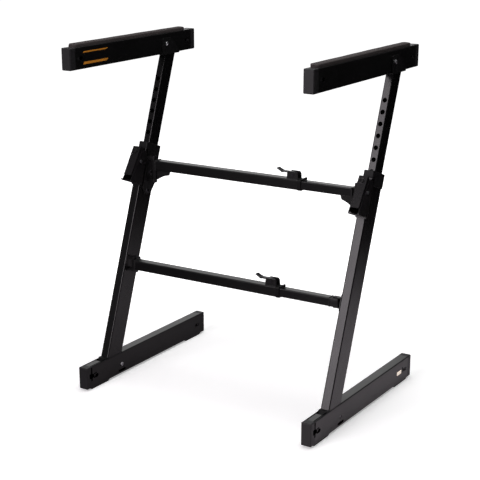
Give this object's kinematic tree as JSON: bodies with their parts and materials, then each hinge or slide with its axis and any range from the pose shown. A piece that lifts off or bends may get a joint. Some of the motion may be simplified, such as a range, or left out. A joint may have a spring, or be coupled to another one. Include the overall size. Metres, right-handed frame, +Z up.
{
  "type": "folding keyboard stand",
  "caption": "Folding Z-shaped keyboard stand: leaning telescopic legs on long feet, padded arms, squeeze latches, two telescoping crossbars with cam clamps.",
  "frame": {"origin": "on the floor, under the middle of the whole stand", "axes": "+Z up, +Y from the front (feet towards the player's knees) to the back, +X to the right as seen from the front"},
  "size_m": [0.7154, 0.5774, 0.914],
  "materials": {
    "foot_tube": "semi-gloss black powder coat",
    "leg_tube": "semi-gloss black powder coat",
    "arm_tube": "semi-gloss black powder coat",
    "upright": "semi-gloss black powder coat",
    "crossbar": "semi-gloss black powder coat",
    "inner_crossbar": "smoother black coat, rubbed by sliding",
    "bracket": "semi-gloss black powder coat over pressed steel",
    "latch_steel": "satin black powder coat",
    "end_cap": "fine-grained charcoal plastic",
    "black_plastic": "matte black nylon",
    "cam_plastic": "matte black glass-filled nylon",
    "rubber_foot": "matte black rubber",
    "arm_foam": "matte brown-black foam rubber",
    "bolt": "bright zinc plate",
    "pin": "blackened steel",
    "spring": "bright spring wire"
  },
  "bodies": {
    "left_side": {"left_foot_tube": "foot_tube", "left_foot_caps": "end_cap", "left_foot_pads": "rubber_foot", "left_leg_socket": "black_plastic", "left_foot_bolt": "bolt", "left_leg_tube": "leg_tube", "left_leg_collar": "black_plastic", "left_latch_bracket": "latch_steel", "left_latch_pivot": "bolt", "left_latch_spring": "spring", "left_upper_hinge_plate": "bracket", "left_lower_hinge_plate": "bracket", "left_hinge_pins": "pin", "left_hinge_screws": "pin"},
    "left_height": {"left_upright": "upright", "left_arm_saddle": "bracket", "left_arm_tube": "arm_tube", "left_arm_caps": "end_cap", "left_arm_pad": "arm_foam", "left_arm_bolt": "bolt"},
    "left_latch": {"left_latch_lever": "latch_steel", "left_lock_bolt": "bolt"},
    "right_side": {"right_foot_tube": "foot_tube", "right_foot_caps": "end_cap", "right_foot_pads": "rubber_foot", "right_leg_socket": "black_plastic", "right_foot_bolt": "bolt", "right_leg_tube": "leg_tube", "right_leg_collar": "black_plastic", "right_latch_bracket": "latch_steel", "right_latch_pivot": "bolt", "right_latch_spring": "spring", "right_upper_hinge_plate": "bracket", "right_lower_hinge_plate": "bracket", "right_hinge_pins": "pin", "right_hinge_screws": "pin"},
    "right_height": {"right_upright": "upright", "right_arm_saddle": "bracket", "right_arm_tube": "arm_tube", "right_arm_caps": "end_cap", "right_arm_pad": "arm_foam", "right_arm_bolt": "bolt"},
    "right_latch": {"right_latch_lever": "latch_steel", "right_lock_bolt": "bolt"},
    "upper_outer": {"upper_outer_bar": "crossbar", "upper_outer_bar_hinge": "bracket", "upper_clamp_ears": "bracket", "upper_end_bush": "black_plastic", "upper_cam_pin": "pin"},
    "upper_cam": {"upper_cam_lever": "cam_plastic"},
    "upper_inner": {"upper_inner_bar": "inner_crossbar", "upper_inner_bar_hinge": "bracket"},
    "lower_outer": {"lower_outer_bar": "crossbar", "lower_outer_bar_hinge": "bracket", "lower_clamp_ears": "bracket", "lower_end_bush": "black_plastic", "lower_cam_pin": "pin"},
    "lower_cam": {"lower_cam_lever": "cam_plastic"},
    "lower_inner": {"lower_inner_bar": "inner_crossbar", "lower_inner_bar_hinge": "bracket"}
  },
  "joints": [
    {"name": "fold", "type": "hinge", "parent": "left_side", "child": "upper_outer", "pos_m": [-0.307, 0.02592, 0.565], "axis": [0, 0, 1], "range_deg": [0, 90]},
    {"name": "width", "type": "slide", "parent": "upper_outer", "child": "upper_inner", "axis": [1, 0, 0], "range_m": [-0.104, 0.204]},
    {"name": "fold_right", "type": "hinge", "parent": "upper_inner", "child": "right_side", "pos_m": [0.307, 0.02592, 0.565], "axis": [0, 0, 1], "range_deg": [-90, 0]},
    {"name": "fold_lower", "type": "hinge", "parent": "left_side", "child": "lower_outer", "pos_m": [-0.307, -0.07589, 0.31], "axis": [0, 0, 1], "range_deg": [0, 90]},
    {"name": "width_lower", "type": "slide", "parent": "lower_outer", "child": "lower_inner", "axis": [1, 0, 0], "range_m": [-0.104, 0.204]},
    {"name": "left_height", "type": "slide", "parent": "left_side", "child": "left_height", "axis": [0, 0.342, 0.9397], "range_m": [-0.1764, 0]},
    {"name": "left_latch", "type": "hinge", "parent": "left_side", "child": "left_latch", "pos_m": [-0.339, -0.00987, 0.57664], "axis": [1, 0, 0], "range_deg": [0, 8], "stiffness_Nm_per_rad": 3, "springref_deg": -5.73, "deforming": ["left_latch_spring"]},
    {"name": "right_height", "type": "slide", "parent": "right_side", "child": "right_height", "axis": [0, 0.342, 0.9397], "range_m": [-0.1764, 0]},
    {"name": "right_latch", "type": "hinge", "parent": "right_side", "child": "right_latch", "pos_m": [0.339, -0.00987, 0.57664], "axis": [1, 0, 0], "range_deg": [0, 8], "stiffness_Nm_per_rad": 3, "springref_deg": -5.73, "deforming": ["right_latch_spring"]},
    {"name": "upper_clamp", "type": "hinge", "parent": "upper_outer", "child": "upper_cam", "pos_m": [0.128, 0.02592, 0.589], "axis": [0, 1, 0], "range_deg": [0, 100]},
    {"name": "lower_clamp", "type": "hinge", "parent": "lower_outer", "child": "lower_cam", "pos_m": [0.128, -0.07589, 0.334], "axis": [0, 1, 0], "range_deg": [0, 100]}
  ],
  "couplings": [
    {"joint": "fold_right", "follows": "fold", "ratio": -1},
    {"joint": "fold_lower", "follows": "fold", "ratio": 1},
    {"joint": "width_lower", "follows": "width", "ratio": 1}
  ]
}
